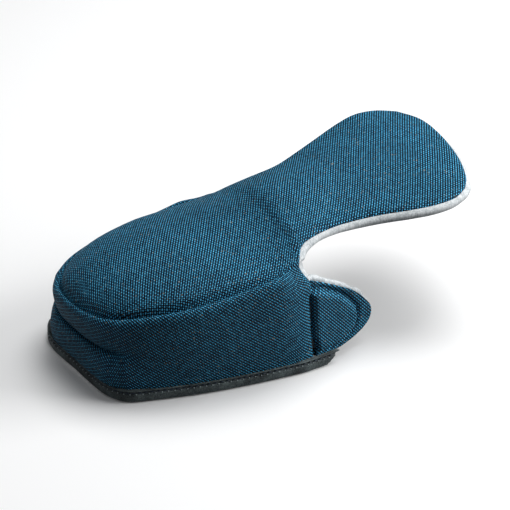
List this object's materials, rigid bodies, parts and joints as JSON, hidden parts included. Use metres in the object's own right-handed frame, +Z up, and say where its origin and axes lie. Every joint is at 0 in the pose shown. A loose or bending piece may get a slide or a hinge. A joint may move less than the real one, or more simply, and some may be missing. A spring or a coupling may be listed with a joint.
{
  "type": "padded protective liner",
  "caption": "Hollow fabric-covered foam liner with a deep side wall, folding end flaps, a long flared flexing paddle, brushed grey lining and a stitched hem strip.",
  "frame": {"origin": "middle of the part's box, on the plane of the hem strip's bottom edge", "axes": "+X from the closed toe to the paddle's tip, +Z up through the crown"},
  "size_m": [0.2447, 0.1155, 0.0871],
  "materials": {
    "woven_cover": "coarse two-tone weave, teal yarn over near-black",
    "foam": "soft open-cell foam",
    "brushed_lining": "light grey brushed knit",
    "coated_strip": "dark matte coated strip",
    "thread": "dark navy sewing thread"
  },
  "bodies": {
    "hood": {"crown_cover": "woven_cover", "crown_foam": "foam", "crown_lining": "brushed_lining", "wall_cover": "woven_cover", "wall_foam": "foam", "toe_pad": "foam", "wall_lining": "brushed_lining", "hem_strip": "coated_strip", "hem_stitches": "thread"},
    "paddle": {"paddle_cover": "woven_cover", "paddle_foam": "foam", "paddle_lining": "brushed_lining"},
    "near_flap": {"near_flap_cover": "woven_cover", "near_flap_foam": "foam", "near_flap_pad": "foam", "near_flap_lining": "brushed_lining"},
    "far_flap": {"far_flap_cover": "woven_cover", "far_flap_foam": "foam", "far_flap_pad": "foam", "far_flap_lining": "brushed_lining"}
  },
  "joints": [
    {"name": "paddle_flex", "type": "hinge", "parent": "hood", "child": "paddle", "pos_m": [0.018, 0, 0.0745], "axis": [0, -1, 0], "range_deg": [-20, 25], "stiffness_Nm_per_rad": 0.3},
    {"name": "near_flap_fold", "type": "hinge", "parent": "hood", "child": "near_flap", "pos_m": [-0.003, -0.05395, 0.028], "axis": [0, 0, 1], "range_deg": [-25, 35], "stiffness_Nm_per_rad": 0.03},
    {"name": "far_flap_fold", "type": "hinge", "parent": "hood", "child": "far_flap", "pos_m": [-0.003, 0.05395, 0.028], "axis": [0, 0, -1], "range_deg": [-25, 35], "stiffness_Nm_per_rad": 0.03}
  ]
}
